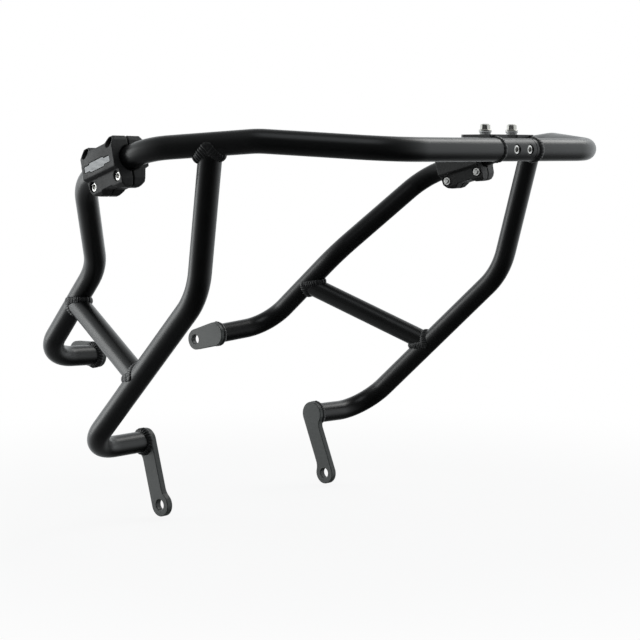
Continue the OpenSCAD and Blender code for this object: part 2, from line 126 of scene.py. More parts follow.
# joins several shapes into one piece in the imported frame
def addShapes(name, shapes, material, slotName, node, crease=creases["shape"]):
    mesh = bpy.data.meshes.new(name)
    allVerts, allFaces, base = [], [], 0
    for verts, quads, tris in shapes:
        centred = verts - verts.mean(0)
        if signedVolume(centred, quads, tris) < 0:
            quads, tris = quads[:, ::-1], tris[:, ::-1]
        allVerts.append(toRow(verts))
        allFaces += (quads + base).tolist() + (tris + base).tolist()
        base += len(verts)
    mesh.from_pydata(np.vstack(allVerts).tolist(), [], allFaces)
    cleanMesh(mesh, merge=mergeWithin["shape"], drop=thinnestFace)
    shadeMesh(mesh, crease)
    addPiece(name, mesh, material, slotName, node)


# the shapes with Y times the sign of their side
def onSide(shapes, sign):
    return [(verts * (1, sign, 1), quads, tris) for verts, quads, tris in shapes]


# node helpers

# each named input gets a value of its own or, if a socket is given, a link from it
def feed(tree, node, inputs):
    for label, value in inputs.items():
        if isinstance(value, bpy.types.NodeSocket):
            tree.links.new(value, node.inputs[label])
        else:
            node.inputs[label].default_value = value
    return node


def addNode(tree, kind, inputs):
    return feed(tree, tree.nodes.new("ShaderNode" + kind), inputs)


def mathNode(tree, operation, a, b=None, clamp=False):
    node = addNode(tree, "Math", {0: a} if b is None else {0: a, 1: b})
    node.operation = operation
    node.use_clamp = clamp
    return node.outputs[0]


def rangeNode(tree, value, fromMin, fromMax, toMin, toMax, kind="SMOOTHSTEP"):
    node = addNode(tree, "MapRange", {"Value": value, "From Min": fromMin, "From Max": fromMax,
                                      "To Min": toMin, "To Max": toMax})
    node.interpolation_type = kind
    return node.outputs["Result"]


def dotNode(tree, vector, way):
    node = addNode(tree, "VectorMath", {0: vector, 1: way})
    node.operation = "DOT_PRODUCT"
    return node.outputs["Value"]


def colourMix(tree, share, first, second):
    node = tree.nodes.new("ShaderNodeMix")
    node.data_type = "RGBA"
    feed(tree, node, {"Factor": share, "A": (*first, 1.0), "B": (*second, 1.0)})
    return node.outputs["Result"]


def groupNode(tree, group, inputs):
    node = tree.nodes.new("ShaderNodeGroup")
    node.node_tree = group
    return feed(tree, node, inputs).outputs


# an empty node group, the sockets it is given and the sockets it gives back
def newGroup(name, inputs, outputs):
    group = bpy.data.node_groups.new(name, "ShaderNodeTree")
    for labels, way in ((inputs, "INPUT"), (outputs, "OUTPUT")):
        for label in labels:
            kind = "NodeSocketVector" if label == "Vector" else "NodeSocketFloat"
            group.interface.new_socket(label, in_out=way, socket_type=kind)
    source, sink = group.nodes.new("NodeGroupInput"), group.nodes.new("NodeGroupOutput")
    return group, source.outputs, sink.inputs


def newMaterial(name):
    material = bpy.data.materials.new(name)
    material.use_nodes = True
    return material, material.node_tree, material.node_tree.nodes["Principled BSDF"]


# materials

# each noise of the grain: detail and roughness
grainSizes = dict(Fine=(3.0, 0.6), Wave=(1.0, 0.5), Patch=(4.0, 0.55))
scuffSizes = dict(stretch=(1.0, 0.12, 1.6), turned=(0.5, 0.3, 0.9), lineScale=90.0,
                  lineDetail=5.0, lineRough=0.75, cloudScale=22.0)
# the patch noise hardly leaves this range, which is spread over the gloss
patchLow, patchHigh = 0.3, 0.7


# surface grain shared by every finish: fine bumps, a slow wave under them and faint
# patches that shift the gloss and the colour
def makeGrainGroup():
    group, given, wanted = newGroup(
        "surfaceGrain", ["Vector", "Fine scale", "Wave scale", "Wave share", "Patch scale"],
        ["Height", "Patch"])
    noise = {}
    for label, (detail, roughness) in grainSizes.items():
        noise[label] = addNode(group, "TexNoise", {
            "Vector": given["Vector"], "Scale": given[label + " scale"],
            "Detail": detail, "Roughness": roughness}).outputs["Fac"]
    low = mathNode(group, "MULTIPLY", noise["Wave"], given["Wave share"])
    group.links.new(mathNode(group, "ADD", noise["Fine"], low), wanted["Height"])
    group.links.new(noise["Patch"], wanted["Patch"])
    return group


# handling marks: thin scratches crossed by a cloudy mask
def makeScuffGroup():
    group, given, wanted = newGroup("scuffMarks", ["Vector", "Cover"], ["Mask"])
    stretched = addNode(group, "Mapping", {
        "Vector": given["Vector"], "Scale": scuffSizes["stretch"],
        "Rotation": scuffSizes["turned"]}).outputs["Vector"]
    lines = addNode(group, "TexNoise", {
        "Vector": stretched, "Scale": scuffSizes["lineScale"],
        "Detail": scuffSizes["lineDetail"], "Roughness": scuffSizes["lineRough"]})
    cloud = addNode(group, "TexNoise", {"Vector": given["Vector"],
                                        "Scale": scuffSizes["cloudScale"]})
    sharp = mathNode(group, "GREATER_THAN", lines.outputs["Fac"], given["Cover"])
    soft = mathNode(group, "MULTIPLY", sharp, cloud.outputs["Fac"], True)
    group.links.new(soft, wanted["Mask"])
    return group


grainGroup = makeGrainGroup()
scuffGroup = makeScuffGroup()


# one finish: base colour that drifts between two near tones, gloss that drifts with it,
# and a bump from the shared grain
def makeFinish(name, look):
    material, tree, shader = newMaterial(name)
    coord = tree.nodes.new("ShaderNodeTexCoord").outputs["Object"]
    place = addNode(tree, "Mapping", {"Vector": coord,
                                      "Scale": look.get("stretch", (1.0, 1.0, 1.0)),
                                      "Rotation": look.get("turned", (0.0, 0.0, 0.0))})
    grain = groupNode(tree, grainGroup, {
        "Vector": place.outputs["Vector"], "Fine scale": look["fineScale"],
        "Wave scale": look["waveScale"], "Wave share": look["waveShare"],
        "Patch scale": look["patchScale"]})
    scuff = groupNode(tree, scuffGroup, {"Vector": coord, "Cover": look["scuffCover"]})
    gloss = rangeNode(tree, grain["Patch"], patchLow, patchHigh,
                      look["roughness"] - look["roughSpread"],
                      look["roughness"] + look["roughSpread"], "LINEAR")
    marks = mathNode(tree, "MULTIPLY", scuff["Mask"], look["scuffRough"])
    bump = addNode(tree, "Bump", {"Height": grain["Height"], "Strength": look["bump"],
                                  "Distance": look["bumpDepth"]})
    feed(tree, shader, {
        "Base Color": colourMix(tree, grain["Patch"], look["colour"], look["colourTwo"]),
        "Roughness": mathNode(tree, "ADD", gloss, marks, True),
        "Normal": bump.outputs["Normal"],
        "Metallic": look["metallic"], "Specular IOR Level": look["specular"]})
    return material


tubeLook = dict(colour=(0.0027, 0.0029, 0.0031), colourTwo=(0.0036, 0.0038, 0.0039),
                roughness=0.34, roughSpread=0.03, metallic=0.0, specular=0.5,
                fineScale=1500.0, waveScale=330.0, waveShare=0.8, patchScale=14.0,
                bump=0.12, bumpDepth=0.00005, scuffCover=0.66, scuffRough=0.03)
# painted light: the plates wear the tubes' satin black coat made far lighter, so their flat faces
# show the light they catch
plateLitLook = dict(tubeLook, colour=(0.038, 0.042, 0.040), colourTwo=(0.048, 0.052, 0.050),
                 roughness=0.42, fineScale=1300.0, bump=0.25)
# painted light: the beads wear the same satin black coat made about three times lighter, so their
# ripples show as lit
weldLitLook = dict(tubeLook, colour=(0.0085, 0.0089, 0.0093), colourTwo=(0.0125, 0.0130, 0.0135),
                roughness=0.40, roughSpread=0.04, waveScale=700.0, bump=0.25)
couplingLook = dict(tubeLook, colour=(0.0050, 0.0054, 0.0060), roughness=0.38)
padLook = dict(colour=(0.0066, 0.0070, 0.0070), colourTwo=(0.0104, 0.0108, 0.0106),
               roughness=0.55, roughSpread=0.06, metallic=0.0, specular=0.5,
               fineScale=900.0, waveScale=420.0, waveShare=1.2, patchScale=30.0,
               bump=0.75, bumpDepth=0.00018, scuffCover=0.64, scuffRough=0.08)
steelLook = dict(colour=(0.66, 0.655, 0.635), colourTwo=(0.78, 0.775, 0.75),
                 roughness=0.30, roughSpread=0.07, metallic=1.0, specular=0.5,
                 fineScale=1800.0, waveScale=900.0, waveShare=0.5, patchScale=120.0,
                 bump=0.25, bumpDepth=0.00004, scuffCover=0.6, scuffRough=0.12)
boltLook = dict(steelLook, colour=(0.46, 0.45, 0.42), colourTwo=(0.60, 0.59, 0.55),
                roughness=0.36)
# painted sheen: the zinc collars get a near-white, nearly non-metallic colour that stands for the
# bright reflections of plated metal
collarSheenLook = dict(steelLook, colour=(0.86, 0.86, 0.85), colourTwo=(0.92, 0.92, 0.91),
                  roughness=0.30, metallic=0.1)
badgeLook = dict(colour=(0.02, 0.021, 0.022), colourTwo=(0.24, 0.245, 0.25),
                 roughness=0.38, roughSpread=0.05, metallic=1.0, specular=0.5,
                 fineScale=1500.0, waveScale=500.0, waveShare=0.4, patchScale=420.0,
                 bump=0.35, bumpDepth=0.00005, scuffCover=0.6, scuffRough=0.1,
                 stretch=(0.12, 1.0, 1.0), turned=(0.0, 0.0, 0.1))

tubeCoat = makeFinish("satinBlackCoatTube", tubeLook)
plateLitCoat = makeFinish("satinBlackCoatPlateLit", plateLitLook)
weldLitCoat = makeFinish("satinBlackCoatWeldLit", weldLitLook)
couplingCoat = makeFinish("satinBlackCoatCoupling", couplingLook)
padPlastic = makeFinish("grainedPadPlastic", padLook)
brightSteel = makeFinish("brightScrewSteel", steelLook)
boltSteel = makeFinish("greyBoltSteel", boltLook)
collarPaintedSheen = makeFinish("collarZincPaintedSheen", collarSheenLook)
badgeMetal = makeFinish("brushedBadgePlate", badgeLook)
print("finishes made")

# bent tubes: corners of the centre lines, and the radius of each bend in between

tubeSizes = dict(radius=12.7, wall=2.0, around=56, arcStep=3.0, leastArc=6)
frontEndY = dict(right=-8.0, left=58.0)
rearTabY, lowerTabY = -107.5, -148.5
mainSizes = dict(radii=[75, 75, 80, 80, 105, 52],
                 corners=[(0, -8, 0), (0, -175.5, 0), (-115.5, -256.5, 8.7),
                          (-225, -308.5, 0.6), (-345, -294.5, -33), (-428, -208.5, -136),
                          (-538.4, -190, -237.7), (-553.6, rearTabY, -246.3)])
# tops and feet lie on a straight run, this far from the corner before it
legSizes = dict(radii=[85, 52], top=51.0,
                corners=[(-197.5, -264.5, -154.5), (-411, -241, -346.5),
                         (-411.5, lowerTabY, -344.7)])
braceSizes = dict(top=64.5, foot=146.0)
# the feet of the right side lie a little further back and lower than the left ones
rightFoot = dict(mainCorner=23.6, mainEnd=(-1.9, 0, -10.6), legEnd=(-6.5, 0, -2.6))

mainPoints = np.array(mainSizes["corners"], float)
rearRun = unit(mainPoints[6] - mainPoints[5])
legTop = mainPoints[2] + unit(mainPoints[3] - mainPoints[2]) * legSizes["top"]
legPoints = np.vstack([legTop, legSizes["corners"]])
mainOf = dict(left=mainPoints, right=mainPoints.copy())
mainOf["right"][6] += rearRun * rightFoot["mainCorner"]
mainOf["right"][7] += rightFoot["mainEnd"]
legOf = dict(left=legPoints, right=legPoints.copy())
legOf["right"][3] += rightFoot["legEnd"]
braceTop = mainPoints[5] + rearRun * braceSizes["top"]
braceFoot = legPoints[1] + unit(legPoints[2] - legPoints[1]) * braceSizes["foot"]


# arc that rounds a corner between two directions, starting radius * tan(half the turn)
# before it: its points and its direction at each of them
def cornerArc(corner, a, b, radius, arcStep, least):
    turn = math.acos(float(np.clip(a @ b, -1, 1)))
    count = max(least, int(math.degrees(turn) / arcStep) + 1)
    t = np.linspace(0, turn, count)[:, None]
    inward = unit(b - a * math.cos(turn))
    start = corner - a * radius * math.tan(turn / 2)
    return (start + radius * (np.sin(t) * a + (1 - np.cos(t)) * inward),
            np.cos(t) * a + np.sin(t) * inward)


# centre line and direction of a bent tube: straight runs joined by circular arcs
def bentPath(corners, radii):
    run = unit(np.diff(corners, axis=0))
    points, along = [corners[:1]], [run[:1]]
    for corner, a, b, radius in zip(corners[1:], run, run[1:], radii):
        arc, way = cornerArc(corner, a, b, radius, tubeSizes["arcStep"],
                             tubeSizes["leastArc"])
        points.append(arc)
        along.append(way)
    points.append(corners[-1:])
    along.append(run[-1:])
    return np.vstack(points), np.vstack(along)


# two directions square to the path at each point: along x steady, and that x along
def sideAxes(along, steady):
    side = unit(np.cross(along, np.asarray(steady, float)))
    return side, np.cross(side, along)


# circle round each point of the path: point + radius * (cos(t) * side + sin(t) * up)
def rings(points, along, steady, radius, around):
    side, up = sideAxes(along, steady)
    turn = np.linspace(0, 2 * np.pi, around, endpoint=False)[None, :, None]
    out = np.cos(turn) * side[:, None] + np.sin(turn) * up[:, None]
    return points[:, None] + radius * out, out


# how far each start point goes along a direction until it leaves a round bar: the larger
# root s of |w + s * v| = radius, where w and v are the start and the direction with
# their parts along the bar taken off
def toBar(starts, along, barPoint, barAlong, barRadius):
    w = starts - barPoint
    w = w - (w @ barAlong)[:, None] * barAlong
    v = along - (along @ barAlong) * barAlong
    square, mixed = v @ v, w @ v
    rest = (w * w).sum(1) - barRadius ** 2
    return (-mixed + np.sqrt(np.maximum(mixed * mixed - square * rest, 0))) / square


# how far each start point goes along a direction to a plane of one Y: (plane - y) / rate
def toPlane(starts, along, planeY):
    return (planeY - starts[:, 1]) / along[1]


# hollow tube: the outer circles run forward and the inner ones back, so the walls, the
# two ends and the bore are one closed surface; each end is trimmed to what it meets
def tubeShape(corners, radii, steady, startTrim, endTrim):
    points, along = bentPath(corners, radii)
    walls = []
    for radius in (tubeSizes["radius"], tubeSizes["radius"] - tubeSizes["wall"]):
        grid, _ = rings(points, along, steady, radius, tubeSizes["around"])
        for trim, ring, way in ((startTrim, 0, along[0]), (endTrim, -1, along[-1])):
            if trim:
                grid[ring] = grid[ring] + trim(grid[ring], way)[:, None] * way
        walls.append(grid)
    return gridFaces(np.concatenate([walls[0], walls[1][::-1]]), closed=True)


# trims a tube to the bar through two points: a start moves forwards until it is clear of
# the bar, and an end, with -1 as the sign, backwards
def onBar(a, b, sign=1):
    reach = tubeSizes["radius"] + seatGap
    return lambda starts, way: sign * toBar(starts, sign * way, a, unit(b - a), reach)


def onPlate(planeY):
    return lambda starts, way: toPlane(starts, way, planeY - seatGap)


braceShape = tubeShape(np.array([braceTop, braceFoot]), [], (0, 1, 0),
                       onBar(mainPoints[5], mainPoints[6]),
                       onBar(legPoints[1], legPoints[2], -1))
for side, sign in sides:
    corners = mainOf[side].copy()
    corners[0, 1] = sign * frontEndY[side]
    mainShape = tubeShape(corners, mainSizes["radii"], (0, 0, 1), None, onPlate(rearTabY))
    legShape = tubeShape(legOf[side], legSizes["radii"], (1, 0, -1),
                         onBar(mainPoints[2], mainPoints[3]), onPlate(lowerTabY))
    for name, shape in (("main", mainShape), ("leg", legShape), ("brace", braceShape)):
        addShapes(name + "Tube_" + side, onSide([shape], sign), tubeCoat, "tube_coat",
                  name + "_tube_" + side)
print("tubes bent and coped")

# weld beads

# scales: pitch in millimetres, depth as a share of the height, points along each and round
# the bead, how far they lag at the toes, how much they differ in height and lean, how
# steep they are, how far the width follows the height and how bluntly an open bead ends
weldSizes = dict(pitch=3.1, depth=0.20, samples=9, around=30, lag=0.75, swell=(0.86, 1.12),
                 swellShare=0.45, swellReach=0.13, lean=(-0.05, 0.05), steep=2.6, mean=0.62,
                 widthFollows=0.4, endPower=8)
barWeldSizes = dict(flatHeight=1.7, cornerHeight=3.1, cornerPower=0.9, mostHeight=5.2,
                    halfWidth=5.0)
legWeldSizes = dict(lift=1.2, grow=0.98, spread=1.25, pitch=3.1, depth=0.30, seed=3)
braceWeldSizes = dict(lift=0.8, grow=0.85, spread=1.15, pitch=2.7, depth=0.30)
plateWeldSizes = dict(height=3.7, width=4.3)
couplingWelds = dict(left=dict(height=2.1, width=3.9, seed=13),
                     right=dict(height=1.7, width=2.9, seed=17, lump=1.0, lumpAt=100.0,
                                pitch=4.4, depth=0.32))
lugSizes = dict(top=16.5, thick=5.0, width=30.0, back=22.5, middles=dict(right=1.0, left=49.0),
                boltSeat=20.55, collarSeat=16.55, nutSeat=6.45)
lugWeldSizes = dict(inset=3.0, backwards=0.6, down=0.5, out=(-0.75, 0.0, -0.66), height=2.4,
                    width=3.0, seeds=dict(right=19, left=23))
seamSizes = dict(barPoints=180, ringPoints=240, lugPoints=60, steady=(0.3, 0.2, 0.93),
                 ringSunk=0.35, lumpSpread=300, lumpWidth=0.6)


# points of a seam at even spots along it, from the way travelled to each of its own
def interpolated(spot, travelled, rows):
    return np.stack([np.interp(spot, travelled, column) for column in rows.T], 1)


# bead laid along a closed or open seam. At each seam point "out" bisects the two metal
# surfaces. The section is an ellipse; stacked scales make it rise and fall like
# 1 - |2f - 1| to a power, where f runs from 0 to 1 along a scale and ahead of itself
# towards the toes, so every scale is a crescent whose tips lag behind
def beadShape(seam, out, height, width, seed, closed=True, pitch=weldSizes["pitch"],
              depth=weldSizes["depth"]):
    follow = np.roll(seam, -1, 0) - np.roll(seam, 1, 0) if closed else np.gradient(seam, axis=0)
    along = unit(follow)
    steps = np.linalg.norm(np.diff(seam, axis=0, append=seam[:1] if closed else seam[-1:]), axis=1)
    length = steps.sum()
    travelled = np.concatenate([[0], np.cumsum(steps)[:-1]])
    count = max(3, int(round(length / pitch)))
    spot = np.linspace(0, length, count * weldSizes["samples"], endpoint=not closed)
    if closed:
        travelled = np.append(travelled, length)
        seam, out, along = (np.vstack([rows, rows[:1]]) for rows in (seam, out, along))
        height, width = (np.append(values, values[0]) for values in (height, width))
    centre, outward, forward = (interpolated(spot, travelled, rows)
                                for rows in (seam, out, along))
    outward, forward = unit(outward), unit(forward)
    tall = np.interp(spot, travelled, height)[:, None]
    wide = np.interp(spot, travelled, width)[:, None]
    outward = unit(outward - (outward * forward).sum(1, keepdims=True) * forward)
    across = np.cross(forward, outward)
    turn = np.linspace(0, 2 * np.pi, weldSizes["around"], endpoint=False)[None, :]
    place = spot[:, None] / length * count
    lag = place + weldSizes["lag"] * np.sin(turn / 2) ** 2 * np.abs(np.sin(turn))
    own = np.floor(lag).astype(int) % count
    noise = np.random.default_rng(seed)
    swell = noise.uniform(*weldSizes["swell"], count)[own]
    lean = noise.uniform(*weldSizes["lean"], count)[own]
    scale = 1 - np.abs(2 * (lag - np.floor(lag)) - 1) ** weldSizes["steep"]
    rise = (1 + depth * (scale - weldSizes["mean"])
            + weldSizes["swellShare"] * depth * (swell - 1) * scale / weldSizes["swellReach"])
    if not closed:
        fade = 1 - (2 * spot / length - 1) ** weldSizes["endPower"]
        fade = np.sqrt(np.clip(fade, 0, 1))[:, None]
        tall, wide = tall * fade, wide * fade
    broad = 1 - weldSizes["widthFollows"] + weldSizes["widthFollows"] * rise
    offset = (outward[:, None] * (tall * rise * np.cos(turn))[..., None]
              + across[:, None] * (wide * broad * (np.sin(turn) + lean))[..., None])
    return gridFaces(centre[:, None] + offset, closed=closed, capped=not closed)


# circle of points round a tube where a seam is looked for, and the way out at each
def seamCircle(spot, way):
    circle, normal = rings(spot[None], way[None], seamSizes["steady"], tubeSizes["radius"],
                           seamSizes["barPoints"])
    return circle[0], normal[0]


# seam where a tube leaves a round bar: the tube's surface lines are followed to the bar,
# and the bead is taller where the two surfaces face further apart
def barSeam(start, end, barA, barB, lift, grow, spread, pitch, depth, seed):
    way = unit(end - start)
    circle, normal = seamCircle(start, way)
    barWay = unit(barB - barA)
    reach = toBar(circle, way, barA, barWay, tubeSizes["radius"])
    seam = circle + reach[:, None] * way
    barOut = seam - barA
    barOut = unit(barOut - (barOut @ barWay)[:, None] * barWay)
    apart = barWeldSizes["cornerHeight"] * (1 - (barOut * normal).sum(1))
    height = barWeldSizes["flatHeight"] + apart ** barWeldSizes["cornerPower"]
    height = np.minimum(height, barWeldSizes["mostHeight"]) * grow
    width = np.full(len(seam), barWeldSizes["halfWidth"] * grow * spread)
    return beadShape(seam + way * lift, barOut + normal, height, width, seed, pitch=pitch,
                     depth=depth)


# seam where a tube stands on a plate that faces -Y: its circle followed to the plane
def plateSeam(before, end, planeY, seed):
    way = unit(end - before)
    circle, normal = seamCircle(end, way)
    seam = circle + toPlane(circle, way, planeY)[:, None] * way
    return beadShape(seam, normal + (0.0, -1.0, 0.0),
                     np.full(len(seam), plateWeldSizes["height"]),
                     np.full(len(seam), plateWeldSizes["width"]), seed)


# weld round the tube where it meets the coupling plug: a circle, on which height and
# width grow like exp(-angle^2 / spread) towards an optional lump
def ringSeam(y, height, width, seed, lump=0.0, lumpAt=0.0, **scales):
    turn = np.linspace(0, 2 * np.pi, seamSizes["ringPoints"], endpoint=False)
    normal = np.stack([np.cos(turn), np.zeros(len(turn)), np.sin(turn)], 1)
    seam = normal * (tubeSizes["radius"] - seamSizes["ringSunk"]) + np.array([0, y, 0])
    away = (np.degrees(turn) - lumpAt + 180) % 360 - 180
    near = np.exp(-away ** 2 / seamSizes["lumpSpread"])
    return beadShape(seam, normal, height + lump * near,
                     width + lump * seamSizes["lumpWidth"] * near, seed, **scales)


legWeld = barSeam(legPoints[0], legPoints[1], mainPoints[2], mainPoints[3], **legWeldSizes)
braceRearWeld = barSeam(braceTop, braceFoot, mainPoints[5], mainPoints[6], seed=5,
                        **braceWeldSizes)
braceLegWeld = barSeam(braceFoot, braceTop, legPoints[1], legPoints[2], seed=7,
                       **braceWeldSizes)
for side, sign in sides:
    leg, main = legOf[side], mainOf[side]
    for name, shape, node in (
            ("legWeld_", legWeld, "weld_leg_"),
            ("braceRearWeld_", braceRearWeld, "weld_brace_rear_"),
            ("braceLegWeld_", braceLegWeld, "weld_brace_leg_"),
            ("lowerTabWeld_", plateSeam(leg[2], leg[3], lowerTabY, seed=9),
             "weld_lower_tab_"),
            ("rearTabWeld_", plateSeam(main[6], main[7], rearTabY, seed=11),
             "weld_rear_tab_")):
        addShapes(name + side, onSide([shape], sign), weldLitCoat, "weld_coat", node + side,
                  creases["weld"])
for side, sizes in couplingWelds.items():
    addShapes("couplingWeld_" + side, [ringSeam(frontEndY[side], **sizes)], weldLitCoat,
              "weld_coat", "weld_coupling_" + side, creases["weld"])

# along the rear lower edge of each lug, where it rests on the tube
for side, y in lugSizes["middles"].items():
    points = seamSizes["lugPoints"]
    reach = lugSizes["width"] / 2 - lugWeldSizes["inset"]
    under = lugSizes["top"] - lugSizes["thick"]
    rear = -math.sqrt(tubeSizes["radius"] ** 2 - under ** 2)
    seam = np.stack([np.full(points, rear - lugWeldSizes["backwards"]),
                     y + np.linspace(-reach, reach, points),
                     np.full(points, under - lugWeldSizes["down"])], 1)
    bead = beadShape(seam, np.tile(lugWeldSizes["out"], (points, 1)),
                     np.full(points, lugWeldSizes["height"]),
                     np.full(points, lugWeldSizes["width"]), lugWeldSizes["seeds"][side], False)
    addShapes("lugWeld_" + side, [bead], weldLitCoat, "weld_coat", "weld_lug_" + side,
              creases["weld"])
print("weld beads laid")

# mounting tabs

# the eyes, where the bolts go, are given by X and Z
tabSizes = dict(thick=8.0, hole=6.5, edge=0.8, headRadius=16.0, eyeRadius=14.0, neck=22.0,
                eyeFillet=18.0, headFillet=12.0, arcStep=4.0, holeAround=72,
                lowerEye=(-388.9, -420.3), rearEye=(-589.0, -255.8))


# closed outline whose corners are arcs that touch both their sides
def roundedOutline(corners, radius, arcStep):
    before = unit(corners - np.roll(corners, 1, 0))
    after = unit(np.roll(corners, -1, 0) - corners)
    return np.vstack([cornerArc(corner, a, b, radius, arcStep, 3)[0]
                      for corner, a, b in zip(corners, before, after)])


# flat plate with rounded edges from a filled outline with holes: the outline lies in
# local X and Y, and the thickness half above and half below Z = 0
def plateMesh(name, outline, holes, thick, edge, edgeSteps=3):
    curve = bpy.data.curves.new(name + "Outline", "CURVE")
    curve.dimensions = "2D"
    curve.fill_mode = "BOTH"
    curve.extrude = thick / 2 - edge
    curve.bevel_depth = edge
    curve.bevel_resolution = edgeSteps
    curve.offset = -edge
    for loop in [outline] + holes:
        spline = curve.splines.new("POLY")
        spline.points.add(len(loop) - 1)
        flat = np.zeros((len(loop), 4))
        flat[:, :2] = loop
        flat[:, 3] = 1
        spline.points.foreach_set("co", flat.ravel())
        spline.use_cyclic_u = True
    holder = bpy.data.objects.new(name + "Outline", curve)
    bpy.context.scene.collection.objects.link(holder)
    graph = bpy.context.evaluated_depsgraph_get()
    mesh = bpy.data.meshes.new_from_object(holder.evaluated_get(graph))
    bpy.data.objects.remove(holder)
    cleanMesh(mesh, merge=mergeWithin["plate"], outwards=True)
    mesh.name = name
    return mesh


# carries a plate to its place: origin + local point * axes, whose rows are the directions
# of its own X, Y and Z, after lowering it by drop along its own Z
def placeMesh(mesh, origin, axes, sign, drop):
    flat = np.zeros(len(mesh.vertices) * 3)
    mesh.vertices.foreach_get("co", flat)
    local = flat.reshape(-1, 3)
    local[:, 2] -= drop
    world = (np.asarray(origin, float) + local @ axes) * (1, sign, 1)
    mesh.vertices.foreach_set("co", toRow(world).ravel())
    cleanMesh(mesh, outwards=True)
    shadeMesh(mesh, creases["plate"])


def addPlate(name, mesh, material, slotName, node):
    piece = addPiece(name, mesh, material, slotName, node)
    keepFlat = piece.modifiers.new("keepFlat", "WEIGHTED_NORMAL")
    keepFlat.keep_sharp = True
    keepFlat.weight = 100


# circle round (x, 0): x + radius * cos(t), radius * sin(t)
def circleLoop(x, radius):
    turn = np.linspace(0, 2 * np.pi, tabSizes["holeAround"], endpoint=False)
    return np.stack([x + radius * np.cos(turn), radius * np.sin(turn)], 1)


# local axes of a tab: X from the tube end to the bolt hole, Z along -Y of the object
def tabAxes(head, eye):
    way = unit(np.array([eye[0] - head[0], 0.0, eye[1] - head[2]]))
    return np.array([way, [-way[2], 0.0, way[0]], [0.0, -1.0, 0.0]])


# arc between two angles: centre + radius * (cos(t), sin(t))
def arcPoints(centre, radius, fromDegrees, toDegrees):
    count = max(3, int(abs(toDegrees - fromDegrees) / tabSizes["arcStep"]) + 1)
    t = np.radians(np.linspace(fromDegrees, toDegrees, count))
    return np.stack([centre[0] + radius * np.cos(t), centre[1] + radius * np.sin(t)], 1)


# lower tab: head circle at the origin, eye circle at (reach, 0). The neck is a straight
# band that touches the head on one side and the eye on the other; on the two free sides a
# hollow arc, tangent to the line and to the circle, leads the neck into the circle
def lowerTabOutline(reach):
    head, eye, neck = (tabSizes[k] for k in ("headRadius", "eyeRadius", "neck"))
    hollowEye, hollowHead = tabSizes["eyeFillet"], tabSizes["headFillet"]
    offset = head + eye - neck
    far = math.sqrt(reach ** 2 - offset ** 2)
    lift = head + hollowEye - offset
    dxEye = math.sqrt((eye + hollowEye) ** 2 - lift ** 2)
    drop = eye - offset + hollowHead
    dxHead = math.sqrt((head + hollowHead) ** 2 - drop ** 2)
    eyeTurn = math.degrees(math.atan2(lift, -dxEye))
    headTurn = math.degrees(math.atan2(-drop, dxHead)) + 360
    loop = np.vstack([
        arcPoints((far, offset), eye, -90, eyeTurn),
        arcPoints((far - dxEye, head + hollowEye), hollowEye, eyeTurn - 180, -90)[1:],
        arcPoints((0, 0), head, 90, headTurn),
        arcPoints((dxHead, -drop), hollowHead, headTurn - 180, 90)[1:]])
    turn = math.asin(offset / reach)
    across = np.array([[math.cos(turn), -math.sin(turn)], [math.sin(turn), math.cos(turn)]])
    return loop @ across


# rear tab: two circles and their outer tangents
def rearTabOutline(reach):
    head, eye = tabSizes["headRadius"], tabSizes["eyeRadius"]
    touch = math.degrees(math.acos((head - eye) / reach))
    return np.vstack([arcPoints((0, 0), head, touch, 360 - touch),
                      arcPoints((reach, 0), eye, -touch, touch)])


for side, sign in sides:
    for name, node, cut, foot, planeY, eye in (
            ("lowerTab_", "lower_tab_", lowerTabOutline, legOf[side][3], lowerTabY,
             tabSizes["lowerEye"]),
            ("rearTab_", "rear_tab_", rearTabOutline, mainOf[side][7], rearTabY,
             tabSizes["rearEye"])):
        reach = math.hypot(eye[0] - foot[0], eye[1] - foot[2])
        mesh = plateMesh(name + side, cut(reach) * (1, sign),
                         [circleLoop(reach, tabSizes["hole"])], tabSizes["thick"],
                         tabSizes["edge"])
        placeMesh(mesh, (foot[0], planeY, foot[2]), tabAxes(foot, eye), sign,
                  tabSizes["thick"] / 2)
        addPlate(name + side, mesh, plateLitCoat, "plate_coat", node + side)
print("tabs cut")

# cast and moulded pieces: the CAD solid's own form with its edges eased

castSizes = dict(padVoxel=0.00055, padPasses=4, couplingVoxel=0.00045, couplingPasses=3,
                 lugVoxel=0.0006, lugPasses=4, relax=0.5)


# a copy of the node is merged, rebuilt as an even skin and relaxed, which rounds every
# edge and inner corner by about the same amount, as a mould does
def easedCopy(name, node, kind, material, slotName):
    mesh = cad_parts[node].data.copy()
    cleanMesh(mesh, merge=mergeWithin["cast"])
    piece = addPiece(name, mesh, material, slotName, node)
    rebuild = piece.modifiers.new("evenSkin", "REMESH")
    rebuild.mode = "VOXEL"
    rebuild.voxel_size = castSizes[kind + "Voxel"]
    rebuild.use_smooth_shade = True
    relax = piece.modifiers.new("easeEdges", "SMOOTH")
    relax.factor = castSizes["relax"]
    relax.iterations = castSizes[kind + "Passes"]
    graph = bpy.context.evaluated_depsgraph_get()
    done = bpy.data.meshes.new_from_object(piece.evaluated_get(graph))
    piece.modifiers.clear()
    piece.data = done
    bpy.data.meshes.remove(mesh)
    done.name = name
    done.materials.clear()
    done.materials.append(material)


for side, _ in sides:
    for part in ("outer", "inner"):
        easedCopy("pad" + part.capitalize() + "_" + side, "pad_" + part + "_" + side, "pad",
                  padPlastic, "pad")
    easedCopy("coupling_" + side + "Half", "coupling_" + side, "coupling", couplingCoat,
              "tube_coat")
    easedCopy("frontLug_" + side, "front_lug_" + side, "lug", couplingCoat, "tube_coat")
print("pads, coupling and lugs eased")

# screws, nuts, collars

